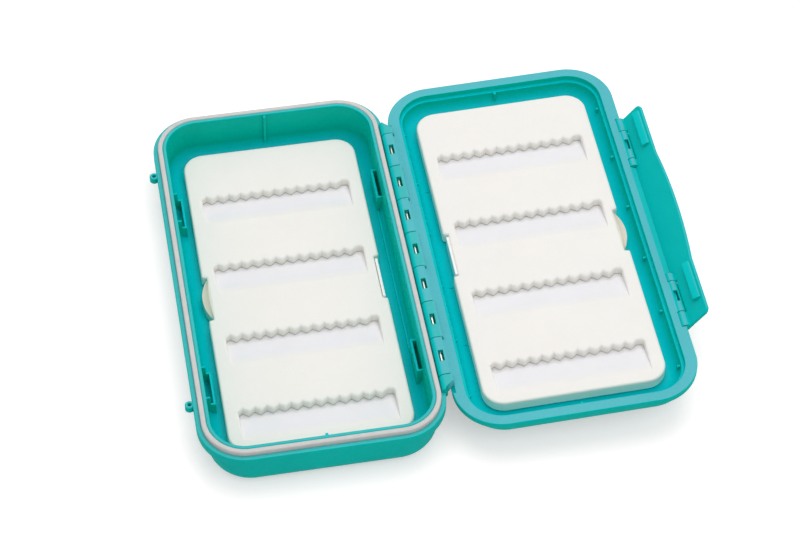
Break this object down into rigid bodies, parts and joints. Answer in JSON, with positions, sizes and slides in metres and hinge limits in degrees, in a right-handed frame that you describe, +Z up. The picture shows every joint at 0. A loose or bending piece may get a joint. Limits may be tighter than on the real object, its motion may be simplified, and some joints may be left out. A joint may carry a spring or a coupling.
{
  "type": "fly box",
  "caption": "Open waterproof fly box: deep base and shallow lid on a long pin hinge, with a sealing gasket, two ramped toothed foam pads and a full-length flap latch.",
  "frame": {"origin": "centre of the base tray's underside, on the table", "axes": "+X from the base over the hinge to the lid, +Y along the hinge away from the viewer, +Z up"},
  "size_m": [0.2216, 0.19, 0.0324],
  "materials": {
    "tray_plastic": "satin",
    "gasket_rubber": "matte",
    "pin_steel": "satin",
    "latch_pin_plastic": "satin",
    "pad_foam": "matte",
    "plate_plastic": "matte",
    "clip_plastic": "gloss"
  },
  "bodies": {
    "base": {"base_shell": "tray_plastic", "gasket": "gasket_rubber", "hinge_pin": "pin_steel", "lanyard_eyelets": "tray_plastic", "base_pad": "pad_foam", "base_pad_plate": "plate_plastic", "base_pad_clip": "clip_plastic"},
    "lid": {"lid_shell": "tray_plastic", "latch_pin_lower": "latch_pin_plastic", "latch_pin_upper": "latch_pin_plastic", "lid_pad": "pad_foam", "lid_pad_plate": "plate_plastic", "lid_pad_clip": "clip_plastic"},
    "latch": {"latch": "tray_plastic"}
  },
  "joints": [
    {"name": "lid_hinge", "type": "hinge", "parent": "base", "child": "lid", "pos_m": [0.05275, 0, 0.0205], "axis": [0, -1, 0], "range_deg": [0, 178.2]},
    {"name": "latch_hinge", "type": "hinge", "parent": "lid", "child": "latch", "pos_m": [0.15655, 0, 0.02066], "axis": [0, -1, 0], "range_deg": [-50, 38]}
  ]
}
